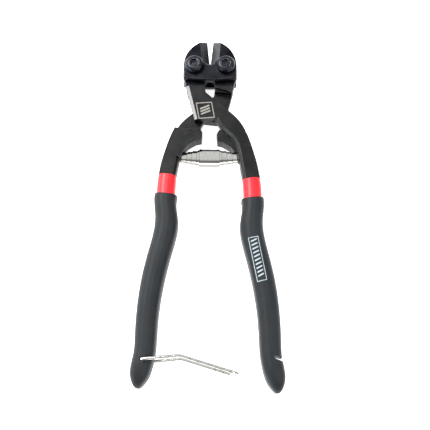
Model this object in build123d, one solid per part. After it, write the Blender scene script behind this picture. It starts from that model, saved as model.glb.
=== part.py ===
from build123d import *
import math
import os

# Compact spring-opened cutter: two crossed one-piece levers, each with a short blade, turn on
# two bolts between a pair of head plates. Millimetres. Drawing frame: X to the right, Y towards
# the blades, Z out of the front face, with the bolts at (+-PIVOT_X, 0) and the tool's mid plane
# at Z = 0. Sizes marked "closed" are drawn with the blades shut; the tool is written out open.

# ---- head
PIVOT_SPACING = 18.0
OPEN_ANGLE = 5.6            # each lever, from blades shut to the opening stop, degrees
HUB_THICKNESS = 7.5
PLATE_THICKNESS = 3.5
EAR_RADIUS = 6.35           # plate outline round each bolt
SADDLE_HEIGHT = 1.0         # dip between the ears, above the bolt line
PLATE_CORNER_DEPTH = 7.7    # lower corners of the plate, below the bolt line
PLATE_MIDDLE_DEPTH = 9.0
PLATE_CHAMFER = 0.6

# ---- blades (closed)
BLADE_REACH = 16.0          # cutting tip above the bolt line
BLADE_TIP_RISE = 1.0         # the tip stands this much above the blade's crown
BLADE_TIP_WIDTH = 2.9
BEVEL_WIDTH = 4.5
EDGE_LAND = 0.2
BEVEL_END = 0.7             # the bevel runs out just above the bolt line

# ---- pivots
BOLT_DIAMETER = 6.0
BOLT_HEAD_DIAMETER = 10.4
BOLT_HEAD_HEIGHT = 4.0
BOLT_HEAD_ROUND = 2.1
BOLT_SOCKET_ACROSS_FLATS = 5.0
BOLT_SOCKET_DEPTH = 2.0
BOLT_TIP_CHAMFER = 0.6
BOLT_PROTRUSION = 0.8       # threaded end beyond the nut
SLEEVE_WALL = 1.0
WASHER_OUTER = 10.6
WASHER_THICKNESS = 1.4
WASHER_SPLIT = 1.2
NUT_ACROSS_FLATS = 10.0
NUT_HEIGHT = 4.0
NUT_CROWN_SLOPE = 0.8
NUT_CROWN_DROP = 0.45
TOOTH_RADIUS = 1.1          # nose of one hub in a notch of the other
TOOTH_SET = 0.3             # centre of the nose behind the line of centres

# ---- levers (closed)
ARM_THICKNESS = 12.5
ARM_BEVEL = 1.5             # along the inner edge and the neck's outer edge
NECK_TOP_DEPTH = 12.1       # full thickness starts here, under the plates
NECK_INNER = 4.0
CROTCH_DEPTH = 32.4
LAP_STEP_DEPTH = 40.1       # full thickness again below the lap
LUG_DEPTH = 43.6            # middle of the closing stop's face
LUG_THICKNESS = 9.0         # from the lever's rear face
LUG_FACE_HEIGHT = 4.0
HANDLE_DEPTH = 69.1         # arms end and the red liners begin
HANDLE_SLIP = 1.0           # the right handle's covers sit this much lower, the left's higher
TANG_THICKNESS = 9.0

# ---- handles (closed)
GRIP_DEPTH = 80.5           # top rim of the black grips
GRIP_LENGTH = 106.3
GRIP_THICKNESS = 18.5
GRIP_WALL = 1.0             # at the sides
LINER_THICKNESS = 15.0
LINER_WALL = 1.0            # at the sides
TANG_END_DEPTH = 173.5

# ---- return spring (open)
SPRING_DEPTH = 53.6
SPRING_LENGTH = 32.7
SPRING_DIAMETER = 9.8
SPRING_END_DIAMETER = 4.9
SPRING_BAND = 11.6
SPRING_STRIP_LAP = 0.1      # radial lap of each turn on the next
SPRING_TURNS = 4            # conical turns each side of the band
SPRING_SEAT_DIAMETER = 7.6
PEG_DIAMETER = 3.2
PEG_STAND = 2.6
PEG_GRIP = 4.0

# ---- wire latch (open)
WIRE_DIAMETER = 1.7
BAIL_HALF_WIDTH = 11.0      # wire centre from the mid plane
BAIL_BEND = (20.1, 2.0)     # from its pivot
BAIL_END = (50.4, -7.2)     # from its pivot
BAIL_REST_INSIDE = 5.0      # wire ends reach in to this far from the mid plane
BAIL_RADII = [1.8, 8.0, 4.5, 4.5, 8.0, 1.8]
BUSH_WALL = 0.9
BUSH_LENGTH = 13.4
LATCH_PIVOT = (17.95, 170.95)   # on the handle: out from the middle, below the bolt line
NOTCH_START = (19.9, 169.5)     # inner end of the catch notch, placed the same way
NOTCH_ANGLE = -22.9
NOTCH_REACH = 12.0              # cut well past the handle's outer edge

# ---- clearances
BLADE_GAP = 0.06            # between the shut edges
STOP_GAP = 0.08             # between the hub shoulders when open
SIDE_PLAY = 0.05            # hub to each plate
LAP_GAP = 0.2               # between the two half arms
LUG_GAP = 0.08              # between the closing lugs
HOLE_PLAY = 0.05            # radial, bolt in plate and sleeve
SLEEVE_PLAY = 0.03          # radial, hub on sleeve
THREAD_PLAY = 0.02          # radial, stands for the thread
TOOTH_PLAY = 0.1
LINER_PLAY = 0.05
BUSH_PLAY = 0.03
WIRE_PLAY = 0.1
GRIP_HOLE_PLAY = 0.5
NOTCH_PLAY = 0.15
SEAT_PLAY = 0.05

PIVOT_X = PIVOT_SPACING / 2
HUB_SIDE = PIVOT_X + EAR_RADIUS
HUB_FACE = HUB_THICKNESS / 2
PLATE_BACK = HUB_FACE + SIDE_PLAY
PLATE_FACE = PLATE_BACK + PLATE_THICKNESS
SLEEVE_RADIUS = BOLT_DIAMETER / 2 + HOLE_PLAY + SLEEVE_WALL
BUSH_RADIUS = WIRE_DIAMETER / 2 + WIRE_PLAY + BUSH_WALL

# Handle outline: share of the way from HANDLE_DEPTH to the grip's end, middle, width.
HANDLE_LINE = [
    (0.000, 17.0, 9.6),
    (0.053, 16.9, 10.1),
    (0.104, 16.3, 12.2),
    (0.207, 14.5, 12.6),
    (0.297, 14.6, 12.5),
    (0.394, 16.3, 12.3),
    (0.491, 17.7, 12.2),
    (0.586, 18.4, 11.9),
    (0.679, 18.4, 11.6),
    (0.770, 17.8, 11.4),
    (0.846, 17.5, 11.1),
    (0.905, 18.2, 11.0),
]
# Closing curve of the grip's end: share of the way, middle, width, share of the thickness.
GRIP_END_LINE = [
    (0.944, 18.6, 9.7, 0.94),
    (0.973, 18.9, 6.9, 0.80),
    (0.992, 19.0, 3.9, 0.58),
    (1.000, 19.0, 1.7, 0.38),
]


def swing(point, angle):
    """A point of the front lever, turned about that lever's own pivot."""
    turned = Vector(point[0] + PIVOT_X, point[1], 0).rotate(Axis.Z, angle)
    return (turned.X - PIVOT_X, turned.Y)


def opened(shape):
    """The front lever's piece, drawn closed, in its open place."""
    pivot = Pos(-PIVOT_X, 0, 0)
    return pivot * Rot(0, 0, OPEN_ANGLE) * pivot.inverse() * shape


def crossed(shape):
    """The same piece on the other lever, which is the front lever turned over about Y."""
    return Rot(0, 180, 0) * shape


def prism(face, half_height):
    """A face in the XY plane, made thick to both sides."""
    return extrude(face, amount=half_height, both=True)


def disc(x, y, radius, low, high):
    """A round bar along Z."""
    return Pos(x, y, low) * Cylinder(
        radius, high - low, align=(Align.CENTER, Align.CENTER, Align.MIN)
    )


# ---------------------------------------------------------------- head

def plate_outline():
    """Two ears round the bolts, a dip between them and a slightly bowed lower edge."""
    rise = (PIVOT_X**2 + SADDLE_HEIGHT**2 - EAR_RADIUS**2) / (2 * (EAR_RADIUS - SADDLE_HEIGHT))
    dip = Vector(0, SADDLE_HEIGHT + rise)
    ear = Vector(PIVOT_X, 0)
    meet = ear + (dip - ear).normalized() * EAR_RADIUS
    side = PIVOT_X + EAR_RADIUS
    edges = [
        ThreePointArc((-meet.X, meet.Y), (0, SADDLE_HEIGHT), (meet.X, meet.Y)),
        ThreePointArc((meet.X, meet.Y), (PIVOT_X, EAR_RADIUS), (side, 0)),
        Line((side, 0), (side, -PLATE_CORNER_DEPTH)),
        ThreePointArc(
            (side, -PLATE_CORNER_DEPTH), (0, -PLATE_MIDDLE_DEPTH), (-side, -PLATE_CORNER_DEPTH)
        ),
        Line((-side, -PLATE_CORNER_DEPTH), (-side, 0)),
        ThreePointArc((-side, 0), (-PIVOT_X, EAR_RADIUS), (-meet.X, meet.Y)),
    ]
    return make_face(edges)


def front_plate():
    plate = Pos(0, 0, PLATE_BACK) * extrude(plate_outline(), amount=PLATE_THICKNESS)
    rim = plate.faces().sort_by(Axis.Z)[-1].edges()
    plate = chamfer(rim, PLATE_CHAMFER)
    for x in (-PIVOT_X, PIVOT_X):
        plate -= disc(x, 0, BOLT_DIAMETER / 2 + HOLE_PLAY, 0, PLATE_FACE + 1)
    return plate


def hexagon(across_flats, height, turn):
    """A hexagon bar standing on Z = 0."""
    corner = across_flats / math.sqrt(3)
    return Rot(0, 0, turn) * extrude(RegularPolygon(corner, 6), amount=height)


def crowned_bar(across_flats, height, slope, drop):
    """A round bar as wide as a hexagon's corners, its top end bevelled inwards."""
    corner = across_flats / math.sqrt(3)
    bar = disc(0, 0, corner, 0, height - drop)
    return bar + Pos(0, 0, height - drop / 2) * Cone(corner, corner - slope, drop)


def pivot_bolt(x, turn):
    """Round domed head with a hexagon socket, on a plain shank."""
    head = disc(0, 0, BOLT_HEAD_DIAMETER / 2, 0, BOLT_HEAD_HEIGHT)
    head = fillet(head.edges().filter_by(GeomType.CIRCLE).sort_by(Axis.Z)[-1], BOLT_HEAD_ROUND)
    socket_floor = BOLT_HEAD_HEIGHT - BOLT_SOCKET_DEPTH
    head -= Pos(0, 0, socket_floor) * hexagon(BOLT_SOCKET_ACROSS_FLATS, BOLT_HEAD_HEIGHT, turn)
    end = -(2 * PLATE_FACE + WASHER_THICKNESS + NUT_HEIGHT + BOLT_PROTRUSION)
    shank = disc(0, 0, BOLT_DIAMETER / 2, end, 0)
    shank = chamfer(shank.edges().filter_by(GeomType.CIRCLE).sort_by(Axis.Z)[0], BOLT_TIP_CHAMFER)
    return Pos(x, 0, PLATE_FACE) * (head + shank)


def pivot_sleeve(x):
    """Spacer that keeps the plates just clear of the hub and is the hub's bearing."""
    inner = BOLT_DIAMETER / 2 + HOLE_PLAY
    return disc(x, 0, SLEEVE_RADIUS, -PLATE_BACK, PLATE_BACK) - disc(x, 0, inner, -9, 9)


def lock_washer(x, turn):
    top = -PLATE_FACE
    bottom = top - WASHER_THICKNESS
    ring = disc(0, 0, WASHER_OUTER / 2, bottom, top)
    ring -= disc(0, 0, BOLT_DIAMETER / 2 + HOLE_PLAY, bottom - 1, top + 1)
    split = Pos(WASHER_OUTER / 2, 0, (top + bottom) / 2) * Rot(20, 0, 0) * Box(
        WASHER_OUTER, WASHER_SPLIT, 3 * WASHER_THICKNESS
    )
    return Pos(x, 0, 0) * Rot(0, 0, turn) * (ring - split)


def pivot_nut(x, turn):
    """Nut on the back, its bevelled end away from the plates."""
    nut = hexagon(NUT_ACROSS_FLATS, NUT_HEIGHT, turn)
    nut &= crowned_bar(NUT_ACROSS_FLATS, NUT_HEIGHT, NUT_CROWN_SLOPE, NUT_CROWN_DROP)
    nut -= disc(0, 0, BOLT_DIAMETER / 2 + THREAD_PLAY, -1, NUT_HEIGHT + 1)
    return Pos(x, 0, -PLATE_FACE - WASHER_THICKNESS) * Rot(180, 0, 0) * nut


# ---------------------------------------------------------------- levers

def hub_outline():
    """Blade and hub of the front lever: blade at the left of the slit, hub on the left bolt."""
    edge = -BLADE_GAP / 2
    tip = (edge, BLADE_REACH + BLADE_TIP_RISE)
    crown = (-BLADE_TIP_WIDTH, BLADE_REACH + 0.2)
    cheek = (-HUB_SIDE + 0.25, 2.4)
    swell = (-HUB_SIDE * 0.66, BLADE_REACH * 0.773)
    stop_low = swing((-STOP_GAP / 2, -6.6), -OPEN_ANGLE)
    stop_high = swing((-STOP_GAP / 2, 0.2), -OPEN_ANGLE)
    neck_low = -NECK_TOP_DEPTH - 3
    edges = [
        Polyline((edge, 0.4), tip, crown),
        ThreePointArc(crown, swell, cheek),
        Polyline(
            cheek,
            (-HUB_SIDE - 0.25, -5.4),
            (-HUB_SIDE + 0.7, -NECK_TOP_DEPTH + 0.5),
            (-HUB_SIDE + 1.3, neck_low),
            (-NECK_INNER - 0.2, neck_low),
            (-NECK_INNER + 0.3, -9.2),
            stop_low,
            stop_high,
            (edge, 0.4),
        ),
    ]
    return make_face(edges)


def arm_y(share, slip):
    """Height of a point between the crotch and the end of the arm."""
    return -CROTCH_DEPTH - share * (HANDLE_DEPTH + slip - CROTCH_DEPTH)


def arm_outline(slip):
    """Neck, crossing and arm of the front lever, from under the plates to the handle."""
    _, middle, width = HANDLE_LINE[0]
    end = arm_y(1, slip)
    inner_end = (middle - width / 2 + 0.2, end)
    outer_end = (middle + width / 2 - 0.2, end)
    inner = [
        (-0.4, arm_y(0, slip)),
        (1.1, arm_y(0.07, slip)),
        (3.4, arm_y(0.185, slip)),
        (6.3, arm_y(0.27, slip)),
        (9.0, arm_y(0.36, slip)),
        (10.9, arm_y(0.52, slip)),
        (11.7, arm_y(0.74, slip)),
        inner_end,
    ]
    crossing = (6.75, arm_y(0, slip) + 4.5)
    outer = [
        crossing,
        (12.8, arm_y(0.06, slip)),
        (17.4, arm_y(0.33, slip)),
        (20.2, arm_y(0.67, slip)),
        outer_end,
    ]
    along_lap = Vector(0.707, -0.707)
    along_handle = Vector(0.06, -1)
    edges = [
        Polyline(
            crossing,
            (-1.0, -CROTCH_DEPTH + 12.6),
            (-NECK_INNER, -CROTCH_DEPTH + 15.8),
            (-NECK_INNER, -NECK_TOP_DEPTH - 0.5),
            (-HUB_SIDE + 0.55, -NECK_TOP_DEPTH + 0.5),
            (-11.7, arm_y(0, slip)),
            inner[0],
        ),
        Spline(*inner, tangents=(Vector(0.8, -0.6), along_handle)),
        Line(inner_end, outer_end),
        Spline(*outer, tangents=(along_lap, along_handle)),
    ]
    return make_face(edges)


def bevelled_arm(slip):
    """The arm at full thickness, with its inner edge and the neck's outer edge bevelled."""
    half = ARM_THICKNESS / 2
    arm = prism(arm_outline(slip), half)
    rims = [edge for edge in arm.edges() if abs(abs(edge.center().Z) - half) < 0.01]
    long_rims = sorted(rims, key=lambda edge: edge.length)[-6:]
    return chamfer([edge for edge in long_rims if edge.center().X < HANDLE_LINE[0][1] - 3], ARM_BEVEL)


def lug_outline():
    """Closing stop: a thinner nose on the inside of the arm."""
    half = LUG_FACE_HEIGHT / 2
    face = LUG_GAP / 2
    points = [
        (4.5, -LUG_DEPTH + 3.8),
        (2.0, -LUG_DEPTH + 4.9),
        (0.9, -LUG_DEPTH + 3.6),
        (face, -LUG_DEPTH + half),
        (face, -LUG_DEPTH - half),
        (3.2, -LUG_DEPTH - 3.1),
        (7.1, -LUG_DEPTH - 6.0),
        (9.4, -LUG_DEPTH - 9.3),
        (11.1, -LUG_DEPTH - 14.0),
        (13.5, -LUG_DEPTH - 12.0),
        (13.5, -LUG_DEPTH - 3.0),
    ]
    return make_face(Polyline(*points, close=True))


def handle_y(share):
    """Height of a point of the handle, from the liner's top to the grip's end."""
    return -HANDLE_DEPTH - share * (GRIP_DEPTH + GRIP_LENGTH - HANDLE_DEPTH)


def handle_middle(depth):
    """Middle and width of the handle at a depth below the bolt line."""
    stations = [(handle_y(s), x, w) for s, x, w in HANDLE_LINE]
    for above, below in zip(stations, stations[1:]):
        if above[0] + 0.001 >= -depth >= below[0]:
            share = (above[0] + depth) / (above[0] - below[0])
            return tuple(a + share * (b - a) for a, b in zip(above[1:], below[1:]))
    raise ValueError(f"no handle at a depth of {depth}")


def handle_face(side_less, last_depth):
    """Flat outline of the handle from its top down, narrower by so much on each side."""
    depths = [-handle_y(share) for share, _, _ in HANDLE_LINE]
    depths = [depth for depth in depths if depth < TANG_END_DEPTH - 3] + [last_depth]
    left = []
    right = []
    for depth in depths:
        middle, width = handle_middle(depth)
        left.append((middle - width / 2 + side_less(depth), -depth))
        right.append((middle + width / 2 - side_less(depth), -depth))
    return make_face([Spline(*left), Line(left[-1], right[-1]), Spline(*right), Line(right[0], left[0])])


def grip_cover(depth):
    """Side wall of the black grip at a depth: none above its rim."""
    return GRIP_WALL if depth > GRIP_DEPTH else 0.0


def tang_side(depth):
    """What the liner and the grip take from each side of the handle."""
    return LINER_WALL + grip_cover(depth)


def bore_side(depth):
    """The same for the liner's bore, which is a little wider than the tang."""
    return tang_side(depth) - LINER_PLAY


def lap_cut():
    """What the front lever gives up behind the mid plane, where the other arm crosses."""
    points = [
        (3.0, -NECK_TOP_DEPTH - 0.3),
        (-NECK_INNER, -NECK_TOP_DEPTH - 1.2),
        (-HUB_SIDE - 5.0, -NECK_TOP_DEPTH - 4.6),
        (-HUB_SIDE - 5.0, -LAP_STEP_DEPTH),
        (40.0, -LAP_STEP_DEPTH),
        (40.0, -NECK_TOP_DEPTH - 0.3),
    ]
    face = make_face(Polyline(*points, close=True))
    return Pos(0, 0, LAP_GAP / 2) * extrude(face, amount=-ARM_THICKNESS)


def blade_bevels():
    """Waste of the two bevels that meet at the cutting edge."""
    edge = -BLADE_GAP / 2
    waste = None
    for side in (-1, 1):
        section = Plane.XZ * make_face(
            Polyline(
                (edge, side * EDGE_LAND / 2),
                (edge - BEVEL_WIDTH, side * HUB_FACE),
                (edge - BEVEL_WIDTH, side * (HUB_FACE + 1)),
                (edge + 2, side * (HUB_FACE + 1)),
                (edge + 2, side * EDGE_LAND / 2),
                close=True,
            )
        )
        wedge = Pos(0, BEVEL_END, 0) * extrude(section, amount=-2 * BLADE_REACH)
        waste = wedge if waste is None else waste + wedge
    return waste


def notch_cut():
    """Slot across the outer edge of a handle that the latch wire drops into."""
    width = WIRE_DIAMETER + 2 * NOTCH_PLAY
    x, depth = NOTCH_START
    slot = Pos(NOTCH_REACH / 2, 0, 0) * Box(NOTCH_REACH, width, 2 * GRIP_THICKNESS)
    slot += Cylinder(width / 2, 2 * GRIP_THICKNESS)
    return Pos(x, -depth, 0) * Rot(0, 0, NOTCH_ANGLE) * slot


def lever_blank(slip):
    """Everything the two levers share, as the front lever, closed."""
    blade = prism(hub_outline(), HUB_FACE) - blade_bevels()
    arm = bevelled_arm(slip) - lap_cut()
    lug = extrude(lug_outline(), amount=LUG_THICKNESS)
    tang = prism(handle_face(tang_side, TANG_END_DEPTH), TANG_THICKNESS / 2)
    lever = blade + arm + Pos(0, 0, -ARM_THICKNESS / 2) * lug + Pos(0, -slip, 0) * tang
    return lever - disc(-PIVOT_X, 0, SLEEVE_RADIUS + SLEEVE_PLAY, -HUB_THICKNESS, HUB_THICKNESS)


def tooth_place():
    """Centre of the tooth, drawn closed: it is on the line of centres half way."""
    return swing((-TOOTH_SET, 0), -OPEN_ANGLE / 2)


def spring_seat():
    """Waste of the flat round seat and the peg's hole in the right arm, open."""
    face = SPRING_LENGTH / 2
    seat = Pos(face - 4, -SPRING_DEPTH, 0) * Rot(0, 90, 0) * Cylinder(
        SPRING_SEAT_DIAMETER / 2, 8
    )
    hole = Pos(face, -SPRING_DEPTH, 0) * Rot(0, 90, 0) * Cylinder(PEG_DIAMETER / 2, 2 * PEG_GRIP)
    return seat + hole


def right_handle_lever():
    lever = lever_blank(HANDLE_SLIP)
    x, y = tooth_place()
    lever += disc(x, y, TOOTH_RADIUS, -HUB_FACE, HUB_FACE)
    lever -= notch_cut()
    return opened(lever) - spring_seat()


def left_handle_lever():
    lever = lever_blank(-HANDLE_SLIP)
    x, y = swing((TOOTH_SET, 0), -OPEN_ANGLE / 2)
    lever -= disc(x, y, TOOTH_RADIUS + TOOTH_PLAY, -HUB_FACE - 1, HUB_FACE + 1)
    lever -= latch_hole(BUSH_RADIUS + BUSH_PLAY)
    return crossed(opened(lever) - spring_seat())


# ---------------------------------------------------------------- handles

def section(share, middle, width, thickness):
    """Rounded section of a handle, across it."""
    plane = Plane(origin=(middle, handle_y(share), 0), x_dir=(1, 0, 0), z_dir=(0, -1, 0))
    corner = min(width, thickness) * 0.42
    return plane * RectangleRounded(width, thickness, corner)


def grip_body(less, thickness):
    """Outer shape of the grip, or of what fills it, by how much it is smaller."""
    top = (GRIP_DEPTH - HANDLE_DEPTH) / (GRIP_DEPTH + GRIP_LENGTH - HANDLE_DEPTH)
    middle, width = handle_middle(GRIP_DEPTH)
    sections = [section(top, middle, width - 2 * less + 0.6, thickness - 1.2)]
    sections += [
        section(s, x, w - 2 * less, thickness) for s, x, w in HANDLE_LINE if s > top + 0.02
    ]
    sections += [
        section(s, x, w - 2 * less, thickness * t) for s, x, w, t in GRIP_END_LINE if w > 2 * less + 1
    ]
    return loft(sections)


def liner_body(play):
    """Outer shape of the red liner, or of the grip's bore for it."""
    sections = []
    for share, middle, width in HANDLE_LINE:
        depth = -handle_y(share)
        sections.append(
            section(share, middle, width - 2 * grip_cover(depth) + 2 * play, LINER_THICKNESS + 2 * play)
        )
    return loft(sections)


def latch_hole(radius):
    x, depth = LATCH_PIVOT
    return disc(x, -depth, radius, -2 * GRIP_THICKNESS, 2 * GRIP_THICKNESS)


def grip_liner():
    """Red inner sleeve on the tang, closed drawing, right handle."""
    bore = prism(
        handle_face(bore_side, TANG_END_DEPTH + LINER_PLAY),
        TANG_THICKNESS / 2 + LINER_PLAY,
    )
    return liner_body(0) - bore


def grip():
    """Black outer grip over the liner, closed drawing, right handle."""
    return grip_body(0, GRIP_THICKNESS) - liner_body(LINER_PLAY)


# ---------------------------------------------------------------- spring and latch

def return_spring():
    """Double cone of flat strip: a wide band in the middle and telescoped turns to each end."""
    radius = SPRING_DIAMETER / 2
    drop = (SPRING_DIAMETER - SPRING_END_DIAMETER) / 2 / SPRING_TURNS
    wall = drop + SPRING_STRIP_LAP
    half_band = SPRING_BAND / 2
    step = (SPRING_LENGTH / 2 - SEAT_PLAY - half_band) / SPRING_TURNS
    spring = ring_along_x(radius, wall, -half_band, half_band)
    for side in (-1, 1):
        for turn in range(SPRING_TURNS):
            start = half_band + turn * step - wall
            stop = half_band + (turn + 1) * step
            near, far = sorted((side * start, side * stop))
            spring += ring_along_x(radius - (turn + 1) * drop, wall, near, far)
    return Pos(0, -SPRING_DEPTH, 0) * spring


def ring_along_x(radius, wall, low, high):
    """A short tube along X."""
    bar = Cylinder(radius, high - low) - Cylinder(radius - wall, high - low)
    return Pos((low + high) / 2, 0, 0) * Rot(0, 90, 0) * bar


def spring_peg():
    """Pressed pin that keeps the right end of the spring in place."""
    start = SPRING_LENGTH / 2 - PEG_STAND
    length = PEG_STAND + PEG_GRIP
    peg = Cylinder(PEG_DIAMETER / 2, length)
    peg = fillet(peg.edges().filter_by(GeomType.CIRCLE).sort_by(Axis.Z)[-1], 0.9)
    return Pos(start + length / 2, -SPRING_DEPTH, 0) * Rot(0, -90, 0) * peg


def latch_place():
    """The latch's pivot in the open left handle."""
    x, y = swing((LATCH_PIVOT[0], -LATCH_PIVOT[1]), OPEN_ANGLE)
    return -x, y


def latch_bush():
    """Tube across the left handle that the wire's ends turn in."""
    x, y = latch_place()
    half = BUSH_LENGTH / 2
    return disc(x, y, BUSH_RADIUS, -half, half) - disc(
        x, y, WIRE_DIAMETER / 2 + WIRE_PLAY, -half - 1, half + 1
    )


def latch_bail():
    """Wire loop round both faces of the left handle, closed by a bar at its far end."""
    x, y = latch_place()
    bend = (x + BAIL_BEND[0], y + BAIL_BEND[1])
    end = (x + BAIL_END[0], y + BAIL_END[1])
    wide = BAIL_HALF_WIDTH
    points = [
        (x, y, BAIL_REST_INSIDE),
        (x, y, wide),
        (*bend, wide),
        (*end, wide),
        (*end, -wide),
        (*bend, -wide),
        (x, y, -wide),
        (x, y, -BAIL_REST_INSIDE),
    ]
    path = FilletPolyline(*points, radius=BAIL_RADII)
    start = Plane(origin=points[0], z_dir=(0, 0, 1))
    return sweep(start * Circle(WIRE_DIAMETER / 2), path=path)


def build():
    """Every piece by name, in the drawing frame."""
    front = front_plate()
    lower = Pos(0, -HANDLE_SLIP, 0)
    liner = grip_liner()
    outer = grip()
    bush_hole = latch_hole(BUSH_RADIUS + BUSH_PLAY)
    wire_hole = WIRE_DIAMETER / 2 + GRIP_HOLE_PLAY
    peg = spring_peg()
    return {
        "front_plate": front,
        "back_plate": crossed(front),
        "left_pivot_bolt": pivot_bolt(-PIVOT_X, 8),
        "right_pivot_bolt": pivot_bolt(PIVOT_X, 21),
        "left_pivot_sleeve": pivot_sleeve(-PIVOT_X),
        "right_pivot_sleeve": pivot_sleeve(PIVOT_X),
        "left_lock_washer": lock_washer(-PIVOT_X, 200),
        "right_lock_washer": lock_washer(PIVOT_X, 320),
        "left_pivot_nut": pivot_nut(-PIVOT_X, 14),
        "right_pivot_nut": pivot_nut(PIVOT_X, 3),
        "right_handle_lever": right_handle_lever(),
        "left_handle_lever": left_handle_lever(),
        "right_grip_liner": opened(lower * liner - notch_cut()),
        "left_grip_liner": crossed(opened(lower.inverse() * liner - bush_hole)),
        "right_grip": opened(lower * outer - notch_cut()),
        "left_grip": crossed(opened(lower.inverse() * outer - latch_hole(wire_hole))),
        "return_spring": return_spring(),
        "right_spring_peg": peg,
        "left_spring_peg": crossed(peg),
        "latch_bush": latch_bush(),
        "latch_bail": latch_bail(),
    }


def home(pieces):
    """Move that puts the origin under the middle of the open tool as it lies on its back."""
    boxes = [piece.bounding_box() for piece in pieces.values()]
    near = min(box.min.Y for box in boxes)
    far = max(box.max.Y for box in boxes)
    return Pos(0, -(near + far) / 2, -min(box.min.Z for box in boxes))


pieces = build()
place = home(pieces)
os.makedirs("parts", exist_ok=True)
for name, piece in pieces.items():
    export_step(place * piece, f"parts/{name}.step")
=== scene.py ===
import bpy
import math
from mathutils import Matrix, Vector
from mathutils.bvhtree import BVHTree


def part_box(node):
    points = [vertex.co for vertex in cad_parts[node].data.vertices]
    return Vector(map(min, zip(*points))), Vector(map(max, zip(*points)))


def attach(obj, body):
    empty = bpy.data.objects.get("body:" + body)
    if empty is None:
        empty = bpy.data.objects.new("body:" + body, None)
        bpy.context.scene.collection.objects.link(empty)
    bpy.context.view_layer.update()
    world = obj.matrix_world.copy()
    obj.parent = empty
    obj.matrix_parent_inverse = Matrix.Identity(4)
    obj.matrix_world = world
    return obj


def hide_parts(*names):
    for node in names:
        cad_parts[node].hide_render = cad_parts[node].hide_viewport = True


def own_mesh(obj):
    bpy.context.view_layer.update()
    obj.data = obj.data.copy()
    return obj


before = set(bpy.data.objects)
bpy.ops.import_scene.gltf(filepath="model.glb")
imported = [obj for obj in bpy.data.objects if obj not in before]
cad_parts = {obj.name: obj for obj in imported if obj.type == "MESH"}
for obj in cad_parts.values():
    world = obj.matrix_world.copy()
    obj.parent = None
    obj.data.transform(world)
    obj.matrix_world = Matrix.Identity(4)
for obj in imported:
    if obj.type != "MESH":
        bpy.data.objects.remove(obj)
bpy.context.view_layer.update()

MM = 0.001

CAMERA_ELEVATION = 75.0        # degrees above the table
CAMERA_DISTANCE = 474.0        # mm
CAMERA_ASIDE = 3.4             # mm to the right of the middle
CAMERA_AIM_DEPTH = 83.278      # mm below the bolt line
CAMERA_LENS = 71.0
CAMERA_SHIFT = -0.0151
CAMERA_ROLL = 0.4              # degrees
FLOOR_HALF = 3.0               # m
FLOOR_DROP = 0.5               # mm under the tool

ARM_TOP = (11.4, 12.2)         # depths over which blue-black hub turns to grey arm, mm; down to here the dark hub tone is also painted shade in the groove under the front plate
NECK_END = (33.0, 36.0)        # depths over which the painted highlight on the left neck bevel fades, mm
BLADE_EDGE = (5.8, 6.2)        # the cutting bevels end this far from the middle, mm
GRIP_COVERS = (84.0, 85.0)     # the liners are out of sight below this depth, mm

SPRING_HALF = 16.3             # mm, at rest, to the ground ends
BAND_HALF = 5.8
BAND_RADIUS = 4.9
END_RADIUS = 2.45
STRIP = 0.45                   # thickness
STRIP_WIDTH = 3.3
STRIP_EASE = 0.14              # corner of the strip
END_TURNS = 4
TURN_STEPS = 56
BAND_STEPS = 96
MARK_LIFT = 0.03               # mm, ink and etching stand this much proud, and reach as far below


def centre(node):
    low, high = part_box(node)
    return 0.5 * (low + high)


BOLT_Y = centre("left_pivot_sleeve").y
MID_Z = centre("left_pivot_sleeve").z


def at(x, depth, z=0.0):
    """A point given in mm: out from the middle, below the bolt line, above the mid plane."""
    return Vector((x * MM, BOLT_Y - depth * MM, MID_Z + z * MM))


# ---------------------------------------------------------------- material helpers

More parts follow.
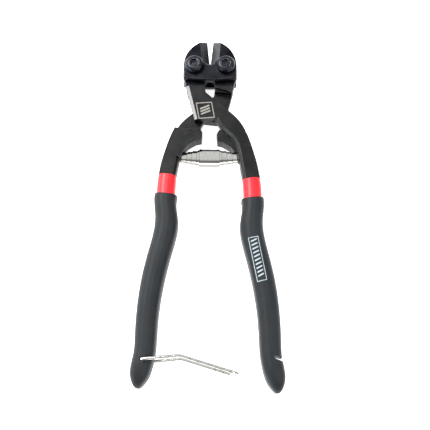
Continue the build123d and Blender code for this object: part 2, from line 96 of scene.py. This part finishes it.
class Paint:
    """A node material under construction."""

    def __init__(self, name):
        self.material = bpy.data.materials.new(name)
        self.material.use_nodes = True
        self.tree = self.material.node_tree
        self.shader = self.tree.nodes["Principled BSDF"]
        self.place = self.node("TexCoord").outputs["Object"]

    def node(self, kind, inputs=None, **settings):
        made = self.tree.nodes.new("ShaderNode" + kind)
        for key, value in settings.items():
            setattr(made, key, value)
        for key, value in (inputs or {}).items():
            self.put(made.inputs[key], value)
        return made

    def put(self, socket, value):
        if isinstance(value, bpy.types.NodeSocket):
            self.tree.links.new(value, socket)
        else:
            socket.default_value = value

    def set(self, **values):
        for key, value in values.items():
            self.put(self.shader.inputs[key.replace("_", " ")], value)

    def math(self, operation, a, b=0.0):
        return self.node("Math", {0: a, 1: b}, operation=operation).outputs[0]

    def noise(self, size_mm, detail=3.0, rough=0.55, place=None):
        values = {"Vector": place or self.place, "Scale": 1 / (size_mm * MM), "Detail": detail,
                  "Roughness": rough}
        return self.node("TexNoise", values).outputs["Fac"]

    def ramp(self, value, low, high, out_low=0.0, out_high=1.0):
        values = {"Value": value, "From Min": low, "From Max": high, "To Min": out_low, "To Max": out_high}
        return self.node("MapRange", values, clamp=True).outputs["Result"]

    def mix(self, factor, a, b):
        made = self.node("Mix", data_type="RGBA")
        self.put(made.inputs[0], factor)
        self.put(made.inputs[6], a)
        self.put(made.inputs[7], b)
        return made.outputs[2]

    def axis(self, index, vector=None):
        return self.node("SeparateXYZ", {0: vector or self.place}).outputs[index]

    def normal(self):
        return self.node("NewGeometry").outputs["Normal"]

    def bevel(self, radius_mm):
        return self.node("Bevel", {"Radius": radius_mm * MM}, samples=6).outputs["Normal"]

    def edges(self, radius_mm):
        """1 along sharp edges, 0 on open faces, broken up by scuffs."""
        normals = {0: self.bevel(radius_mm), 1: self.normal()}
        dot = self.node("VectorMath", normals, operation="DOT_PRODUCT").outputs["Value"]
        edge = self.ramp(self.math("SUBTRACT", 1.0, dot), 0.015, 0.12)
        scuff = self.ramp(self.noise(0.9, 4.0, 0.7), 0.32, 0.62, 0.25, 1.0)
        return self.math("MULTIPLY", edge, scuff)

    def bump(self, height, strength, depth_mm, normal=None):
        values = {"Height": height, "Strength": strength, "Distance": depth_mm * MM}
        if normal is not None:
            values["Normal"] = normal
        return self.node("Bump", values).outputs["Normal"]


def rgb(r, g, b):
    return (r, g, b, 1.0)


# ---------------------------------------------------------------- materials

def blackened_plate():
    """Black oxide over ground steel: blue-black, brighter where the coating has worn off the edges."""
    p = Paint("blackened_plate")
    cloud = p.ramp(p.noise(9.0, 4.0), 0.35, 0.7)
    tone = p.mix(cloud, rgb(0.0085, 0.0092, 0.0115), rgb(0.019, 0.020, 0.024))
    worn = p.edges(0.35)
    p.set(Base_Color=p.mix(worn, tone, rgb(0.30, 0.31, 0.33)), Metallic=1.0)
    fine = p.noise(0.35, 5.0, 0.65)
    p.set(Roughness=p.math("ADD", p.ramp(fine, 0.3, 0.7, 0.26, 0.44), p.ramp(cloud, 0, 1, 0.0, 0.08)))
    p.set(Normal=p.bump(fine, 0.14, 0.03, p.bevel(0.25)))
    return p.material


def turned_fastener(name, middle, base, edge):
    """Black oxide on a turned head: concentric tool marks round its own axis."""
    p = Paint(name)
    flat = p.node("VectorMath", {0: p.place, 1: tuple(middle)}, operation="SUBTRACT").outputs["Vector"]
    x = p.axis(0, flat)
    y = p.axis(1, flat)
    radius = p.math("SQRT", p.math("ADD", p.math("MULTIPLY", x, x), p.math("MULTIPLY", y, y)))
    rings = p.math("SINE", p.math("MULTIPLY", radius, 2 * math.pi / (0.34 * MM)))
    grime = p.noise(1.6, 4.0, 0.6)
    tone = p.mix(p.ramp(grime, 0.35, 0.7), base, tuple(1.7 * c for c in base[:3]) + (1.0,))
    p.set(Base_Color=p.mix(p.edges(0.3), tone, edge), Metallic=1.0)
    p.set(Roughness=p.ramp(p.math("ADD", grime, p.math("MULTIPLY", rings, 0.06)), 0.3, 0.75, 0.2, 0.4))
    p.set(Normal=p.bump(rings, 0.18, 0.02, p.bevel(0.2)))
    return p.material


def forged_lever(name):
    """Blue-black hub and blade, satin grey arm, ground cutting bevels, steel showing at the edges; the dark
    hub tone is also painted shade in the groove below the front plate, and the upper left bevel of the arm
    carries a painted highlight.
    """
    p = Paint(name)
    depth = p.math("SUBTRACT", BOLT_Y, p.axis(1))
    wander = p.math("MULTIPLY", p.math("SUBTRACT", p.noise(2.2), 0.5), 0.9 * MM)
    arm = p.ramp(p.math("ADD", depth, wander), ARM_TOP[0] * MM, ARM_TOP[1] * MM)
    cloud = p.ramp(p.noise(7.0, 5.0, 0.6), 0.33, 0.7)
    # painted shade: the hub tone, darker than the plate, also fills the groove between the front plate's
    # lower edge and the arm
    hub_tone_and_groove_shade = p.mix(cloud, rgb(0.005, 0.0055, 0.007), rgb(0.013, 0.014, 0.017))
    arm_tone = p.mix(cloud, rgb(0.0125, 0.0130, 0.0135), rgb(0.021, 0.021, 0.021))
    tone = p.mix(arm, hub_tone_and_groove_shade, arm_tone)
    worn = p.edges(0.4)
    tone = p.mix(p.math("MULTIPLY", worn, p.ramp(arm, 0, 1, 0.15, 0.6)), tone, rgb(0.22, 0.215, 0.21))
    upright = p.math("ABSOLUTE", p.axis(2, p.normal()))
    slope = p.math("MULTIPLY", p.ramp(upright, 0.55, 0.6), p.ramp(upright, 0.93, 0.9))
    near_edge = p.ramp(p.math("ABSOLUTE", p.axis(0)), BLADE_EDGE[1] * MM, BLADE_EDGE[0] * MM)
    blade = p.math("MULTIPLY", p.ramp(depth, 1.0 * MM, 0.4 * MM), near_edge)
    high_up = p.ramp(depth, NECK_END[1] * MM, NECK_END[0] * MM)
    # painted highlight: the neck bevel is lightened only on its left side, the side facing the lamps
    lit_side = p.ramp(p.axis(0), -0.5 * MM, -1.5 * MM)
    neck_highlight = p.math("MULTIPLY", p.math("MULTIPLY", arm, high_up), lit_side)
    arm_bevel_and_neck_highlight = p.math("MAXIMUM", neck_highlight, p.math("MULTIPLY", arm, 0.3))
    # the ground mask carries the real ground bevels and the painted highlight on the left neck bevel
    ground = p.math("MULTIPLY", slope, p.math("MAXIMUM", blade, arm_bevel_and_neck_highlight))
    stretched = p.node("Mapping", {"Vector": p.place, "Scale": (1.0, 9.0, 1.0)}).outputs["Vector"]
    scratches = p.noise(0.8, 4.0, 0.6, stretched)
    steel = p.mix(p.ramp(scratches, 0.35, 0.65), rgb(0.060, 0.063, 0.066), rgb(0.100, 0.104, 0.108))
    # painted highlight: the left neck bevel gets a pale steel tone
    steel = p.mix(neck_highlight, steel, rgb(0.20, 0.20, 0.20))
    p.set(Base_Color=p.mix(ground, tone, steel), Metallic=1.0)
    fine = p.noise(0.5, 5.0, 0.6)
    satin = p.ramp(fine, 0.3, 0.7, 0.34, 0.5)
    honed = p.ramp(scratches, 0.3, 0.7, 0.2, 0.34)
    p.set(Roughness=p.node("Mix", {0: ground, 2: satin, 3: honed}).outputs[0])
    grain = p.node("Mix", {0: ground, 2: fine, 3: scratches}).outputs[0]
    p.set(Normal=p.bump(grain, 0.22, 0.03, p.bevel(0.3)))
    return p.material


def bright_steel(name, low, high, rough):
    p = Paint(name)
    grime = p.noise(1.4, 4.0, 0.6)
    p.set(Base_Color=p.mix(p.ramp(grime, 0.35, 0.65), low, high), Metallic=1.0)
    p.set(Roughness=p.ramp(grime, 0.3, 0.7, rough, rough + 0.1))
    p.set(Normal=p.bump(p.noise(0.25, 3.0), 0.08, 0.02, p.bevel(0.15)))
    return p.material


def bright_chrome(name, worn, low, high):
    """Chrome plate with faint haze, brown tarnish in patches, and painted shade darkening the faces that turn
    downwards.
    """
    p = Paint(name)
    haze = p.noise(1.2, 4.0, 0.6)
    tarnish = p.math("MULTIPLY", p.ramp(p.noise(3.2, 5.0, 0.65), 0.50, 0.72), worn)
    # painted shade: faces whose normal turns downwards are darkened
    under = p.ramp(p.axis(2, p.normal()), high, low)
    tone = p.mix(tarnish, rgb(0.66, 0.66, 0.63), rgb(0.20, 0.16, 0.11))
    p.set(Base_Color=p.mix(under, tone, rgb(0.030, 0.026, 0.020)), Metallic=1.0)
    p.set(Roughness=p.ramp(haze, 0.3, 0.75, 0.06, 0.16))
    p.set(Normal=p.bump(haze, 0.03, 0.01))
    return p.material


def dipped_rubber():
    """Soft black vinyl: a fine orange-peel skin, slightly dusty and lighter where hands rub it."""
    p = Paint("dipped_rubber")
    broad = p.ramp(p.noise(14.0, 4.0, 0.6), 0.35, 0.7)
    p.set(Base_Color=p.mix(broad, rgb(0.0095, 0.012, 0.014), rgb(0.015, 0.018, 0.020)))
    cells = {"Vector": p.place, "Scale": 1 / (0.42 * MM), "Smoothness": 0.6}
    skin = p.node("TexVoronoi", cells, feature="SMOOTH_F1").outputs["Distance"]
    fine = p.noise(0.22, 3.0, 0.6)
    p.set(Roughness=p.math("ADD", p.ramp(fine, 0.3, 0.7, 0.42, 0.54), p.ramp(broad, 0, 1, 0.0, 0.06)))
    height = p.math("ADD", skin, p.math("MULTIPLY", fine, 0.4))
    p.set(Normal=p.bump(height, 0.16, 0.05), Specular_IOR_Level=0.22, Sheen_Weight=0.04, Sheen_Roughness=0.5,
          Sheen_Tint=rgb(0.70, 0.82, 1.0))
    return p.material


def red_vinyl():
    """Red dip where it shows above the grip, dark under it."""
    p = Paint("red_vinyl")
    broad = p.ramp(p.noise(6.0, 4.0), 0.35, 0.7)
    red = p.mix(broad, rgb(0.70, 0.010, 0.018), rgb(0.83, 0.018, 0.026))
    depth = p.math("SUBTRACT", BOLT_Y, p.axis(1))
    covered = p.ramp(depth, GRIP_COVERS[0] * MM, GRIP_COVERS[1] * MM)
    p.set(Base_Color=p.mix(covered, red, rgb(0.02, 0.02, 0.02)))
    fine = p.noise(0.3, 3.0, 0.6)
    p.set(Roughness=p.ramp(fine, 0.3, 0.7, 0.30, 0.42), Normal=p.bump(fine, 0.12, 0.04, p.bevel(0.25)),
          Specular_IOR_Level=0.4)
    return p.material


def etched_mark():
    p = Paint("etched_mark")
    grain = p.noise(0.3, 4.0, 0.6)
    tone = p.mix(p.ramp(grain, 0.3, 0.7), rgb(0.15, 0.145, 0.13), rgb(0.30, 0.29, 0.26))
    p.set(Base_Color=tone, Metallic=0.6)
    p.set(Roughness=p.ramp(grain, 0.3, 0.7, 0.45, 0.6), Normal=p.bump(grain, 0.1, 0.02))
    return p.material


def pad_print():
    """White ink, thin in spots."""
    p = Paint("pad_print")
    thin = p.noise(0.35, 4.0, 0.7)
    p.set(Base_Color=p.mix(p.ramp(thin, 0.36, 0.5), rgb(0.16, 0.20, 0.23), rgb(0.42, 0.50, 0.55)))
    p.set(Roughness=p.ramp(thin, 0.3, 0.7, 0.5, 0.65), Normal=p.bump(thin, 0.1, 0.02))
    return p.material


def dress(node, material):
    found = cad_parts[node]
    found.data.materials.clear()
    found.data.materials.append(material)


def paint_frame():
    plate = blackened_plate()
    dress("front_plate", plate)
    dress("back_plate", plate)
    dark = rgb(0.020, 0.021, 0.026)
    washer = rgb(0.035, 0.036, 0.040)
    shine = rgb(0.42, 0.43, 0.45)
    for side in ("left", "right"):
        for node, base in (("_pivot_bolt", dark), ("_pivot_nut", dark), ("_lock_washer", washer)):
            dress(side + node, turned_fastener(side + node, centre(side + node), base, shine))
        sleeve = bright_steel(side + "_sleeve", rgb(0.25, 0.25, 0.26), rgb(0.4, 0.4, 0.41), 0.24)
        dress(side + "_pivot_sleeve", sleeve)
        dress(side + "_handle_lever", forged_lever(side + "_lever"))
        peg = bright_steel(side + "_peg", rgb(0.07, 0.07, 0.07), rgb(0.16, 0.155, 0.15), 0.3)
        dress(side + "_spring_peg", peg)
    rubber = dipped_rubber()
    red = red_vinyl()
    for side in ("left", "right"):
        dress(side + "_grip", rubber)
        dress(side + "_grip_liner", red)
    dress("latch_bail", bright_chrome("latch_chrome", 0.8, 0.0, 0.35))
    dress("latch_bush", bright_steel("bush_steel", rgb(0.3, 0.3, 0.3), rgb(0.45, 0.45, 0.44), 0.25))


# ---------------------------------------------------------------- the spring

def as_piece(name, points, faces, material, body):
    mesh = bpy.data.meshes.new(name)
    mesh.from_pydata([tuple(p) for p in points], [], faces)
    mesh.validate()
    mesh.polygons.foreach_set("use_smooth", [True] * len(mesh.polygons))
    mesh.set_sharp_from_angle(angle=math.radians(35))
    mesh.materials.append(material)
    piece = bpy.data.objects.new(name, mesh)
    bpy.context.scene.collection.objects.link(piece)
    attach(piece, body)
    return piece


def strip_section(radius, thickness, low, high):
    """A strip's section, corners eased: (radius, along) pairs."""
    ease = STRIP_EASE
    inner = radius - thickness
    return [(radius, low + ease), (radius, 0.5 * (low + high)), (radius, high - ease), (radius - ease, high),
            (inner + ease, high), (inner, high - ease), (inner, 0.5 * (low + high)), (inner, low + ease),
            (inner + ease, low), (radius - ease, low)]


def sweep(name, sections, middle, turn, material, closed):
    """Sections of (radius, along the spring), one for each angle."""
    points = []
    for angle, section in sections:
        for radius, along in section:
            spot = Vector((turn * along, radius * math.cos(angle), radius * math.sin(angle)))
            points.append(middle + spot * MM)
    size = len(sections[0][1])
    faces = []
    last = len(sections) if closed else len(sections) - 1
    for i in range(last):
        for k in range(size):
            j = (i + 1) % len(sections)
            m = (k + 1) % size
            faces.append((i * size + k, j * size + k, j * size + m, i * size + m)[::int(turn)])
    if not closed:
        faces.append(tuple(range(size))[::int(turn)])
        faces.append(tuple(range((len(sections) - 1) * size, len(sections) * size))[::-int(turn)])
    return as_piece(name, points, faces, material, "spring")


def volute_sections():
    """A strip wound in overlapping turns, each smaller and further out than the last, its end ground flat."""
    steps = TURN_STEPS * END_TURNS
    travel = SPRING_HALF - BAND_HALF
    made = []
    for i in range(steps + 1):
        share = i / steps
        angle = 2 * math.pi * END_TURNS * share + 0.6
        radius = BAND_RADIUS - STRIP - 0.04 + (END_RADIUS - BAND_RADIUS + STRIP) * share
        high = min(BAND_HALF + 0.9 + travel * share * 1.08, SPRING_HALF)
        low = min(max(high - STRIP_WIDTH, BAND_HALF - 2.4), high - 0.8)
        made.append((angle, strip_section(radius, STRIP, low, high)))
    return made


def add_spring():
    middle = centre("return_spring")
    chrome = bright_chrome("spring_chrome", 0.2, 0.1, 0.35)
    band = []
    for i in range(BAND_STEPS):
        angle = 2 * math.pi * i / BAND_STEPS
        lip = 0.10 * math.sin(angle)
        band.append((angle, strip_section(BAND_RADIUS, STRIP, -BAND_HALF + lip, BAND_HALF + lip)))
    band_piece = sweep("spring_band", band, middle, 1, chrome, True)
    for name, turn in (("spring_volute_left", -1), ("spring_volute_right", 1)):
        end = sweep(name, volute_sections(), middle, turn, chrome, False)
        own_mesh(end)
    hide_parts("return_spring")


# ---------------------------------------------------------------- printed and etched marks

def on_quad(corners, u, v):
    top = corners[0].lerp(corners[1], u)
    return top.lerp(corners[3].lerp(corners[2], u), v)


def bars_and_frame(line, count, lean, aspect, fill):
    """A plain frame with slanting bars inside it, as quads in the unit square: no lettering."""
    a = line
    b = line / aspect
    quads = [((0, 0), (1, 0), (1, b), (0, b)), ((0, 1 - b), (1, 1 - b), (1, 1), (0, 1)),
             ((0, b), (a, b), (a, 1 - b), (0, 1 - b)), ((1 - a, b), (1, b), (1, 1 - b), (1 - a, 1 - b))]
    low = 3.0 * b
    inset = max(2.4 * a, 0.2)
    pitch = (1 - 2 * low - lean) / count
    for i in range(count):
        v = low + i * pitch
        thick = fill * pitch
        quads.append(((inset, v + lean), (1 - inset, v), (1 - inset, v + thick),
                      (inset, v + thick + lean)))
    return quads


def mark_piece(name, corners, quads, lay, cells, material, body):
    """Each quad is divided and laid on the surface as a thin closed slab."""
    points = []
    faces = []
    row = cells + 1
    rim = [(i, 0) for i in range(cells)] + [(cells, j) for j in range(cells)]
    rim += [(i, cells) for i in range(cells, 0, -1)] + [(0, j) for j in range(cells, 0, -1)]
    for quad in quads:
        ends = [on_quad(corners, u, v) for u, v in quad]
        for lift in (MARK_LIFT * MM, -MARK_LIFT * MM):
            for j in range(row):
                for i in range(row):
                    points.append(lay(on_quad(ends, i / cells, j / cells), lift))
        top = len(points) - 2 * row * row
        under = row * row
        for j in range(cells):
            for i in range(cells):
                k = top + j * row + i
                faces.append((k, k + row, k + row + 1, k + 1))
                faces.append((k + under, k + 1 + under, k + row + 1 + under, k + row + under))
        for (i, j), (m, n) in zip(rim, rim[1:] + rim[:1]):
            a = top + j * row + i
            b = top + n * row + m
            faces.append((a, b, b + under, a + under))
    return as_piece(name, points, faces, material, body)


def add_arm_mark():
    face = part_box("right_handle_lever")[1].z
    corners = [at(-8.0, 22.6), at(1.2, 21.9), at(3.0, 31.5), at(-6.2, 32.3)]

    def lay(point, lift):
        return Vector((point.x, point.y, face + lift))

    quads = bars_and_frame(0.055, 3, 0.18, 1.0, 0.6)
    piece = mark_piece("arm_mark", corners, quads, lay, 4, etched_mark(), "right_handle")


def add_grip_print():
    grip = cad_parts["right_grip"].data
    tree = BVHTree.FromPolygons([v.co for v in grip.vertices], [tuple(f.vertices) for f in grip.polygons])
    corners = [at(21.4, 102.0), at(26.9, 100.9), at(31.6, 125.0), at(26.4, 126.2)]

    def lay(point, lift):
        hit, normal, _, _ = tree.ray_cast(Vector((point.x, point.y, 1.0)), Vector((0, 0, -1)))
        return hit + normal * lift

    quads = bars_and_frame(0.06, 10, 0.035, 4.0, 0.36)
    mark_piece("grip_print", corners, quads, lay, 6, pad_print(), "right_handle")


# ---------------------------------------------------------------- camera, floor and light

def add_camera():
    elevation = math.radians(CAMERA_ELEVATION)
    distance = CAMERA_DISTANCE * MM
    aim = at(CAMERA_ASIDE, CAMERA_AIM_DEPTH)
    place = aim + Vector((0, -distance * math.cos(elevation), distance * math.sin(elevation)))
    camera = bpy.data.objects.new("camera", bpy.data.cameras.new("camera"))
    camera.data.lens = CAMERA_LENS
    camera.data.sensor_width = 36.0
    camera.data.clip_start = 0.01
    camera.data.shift_y = CAMERA_SHIFT
    look = (aim - place).to_track_quat("-Z", "Y").to_matrix().to_4x4()
    roll = Matrix.Rotation(math.radians(CAMERA_ROLL), 4, "Z")
    camera.matrix_world = Matrix.Translation(place) @ look @ roll
    bpy.context.scene.collection.objects.link(camera)
    bpy.context.scene.camera = camera


def add_floor():
    p = Paint("floor")
    paper = p.mix(p.noise(60.0, 2.0), rgb(0.93, 0.93, 0.93), rgb(0.95, 0.95, 0.95))
    p.set(Base_Color=paper, Roughness=0.9, Specular_IOR_Level=0.1, Emission_Color=rgb(1, 1, 1),
          Emission_Strength=0.7)
    half = FLOOR_HALF
    under = -FLOOR_DROP * MM
    corners = [(-half, -half, under), (half, -half, under), (half, half, under), (-half, half, under)]
    mesh = bpy.data.meshes.new("floor")
    mesh.from_pydata(corners, [], [(0, 1, 2, 3)])
    mesh.materials.append(p.material)
    floor = bpy.data.objects.new("floor", mesh)
    bpy.context.scene.collection.objects.link(floor)


def add_light(name, place, size, size_y, power):
    light = bpy.data.objects.new(name, bpy.data.lights.new(name, "AREA"))
    light.data.shape = "RECTANGLE"
    light.data.size = size
    light.data.size_y = size_y
    light.data.energy = power
    light.location = place
    light.rotation_euler = (-Vector(place)).to_track_quat("-Z", "Y").to_euler()
    bpy.context.scene.collection.objects.link(light)


def add_lights():
    add_light("key", (-0.45, 0.45, 0.95), 0.5, 0.5, 14)
    add_light("left_softbox", (-0.9, 0.15, 0.22), 0.9, 0.35, 4)
    add_light("front_left_softbox", (-0.72, -0.55, 0.2), 0.35, 0.3, 2.4)
    add_light("fill", (0.7, -0.3, 0.8), 0.8, 0.8, 5)
    world = bpy.data.worlds.new("studio")
    bpy.context.scene.world = world
    world.use_nodes = True
    tree = world.node_tree
    direction = tree.nodes.new("ShaderNodeTexCoord").outputs["Generated"]
    height = tree.nodes.new("ShaderNodeVectorMath")
    height.operation = "DOT_PRODUCT"
    tree.links.new(direction, height.inputs[0])
    height.inputs[1].default_value = (0.0, 0.45, 1.0)
    sky = tree.nodes.new("ShaderNodeMapRange")
    for key, value in (("From Min", 0.08), ("From Max", 0.5), ("To Min", 0.22), ("To Max", 0.85)):
        sky.inputs[key].default_value = value
    tree.links.new(height.outputs["Value"], sky.inputs["Value"])
    tree.links.new(sky.outputs["Result"], tree.nodes["Background"].inputs[1])
    tree.nodes["Background"].inputs[0].default_value = (1, 1, 1, 1)
    bpy.context.scene.view_settings.view_transform = "Standard"


paint_frame()
add_spring()
add_arm_mark()
add_grip_print()
add_camera()
add_floor()
add_lights()
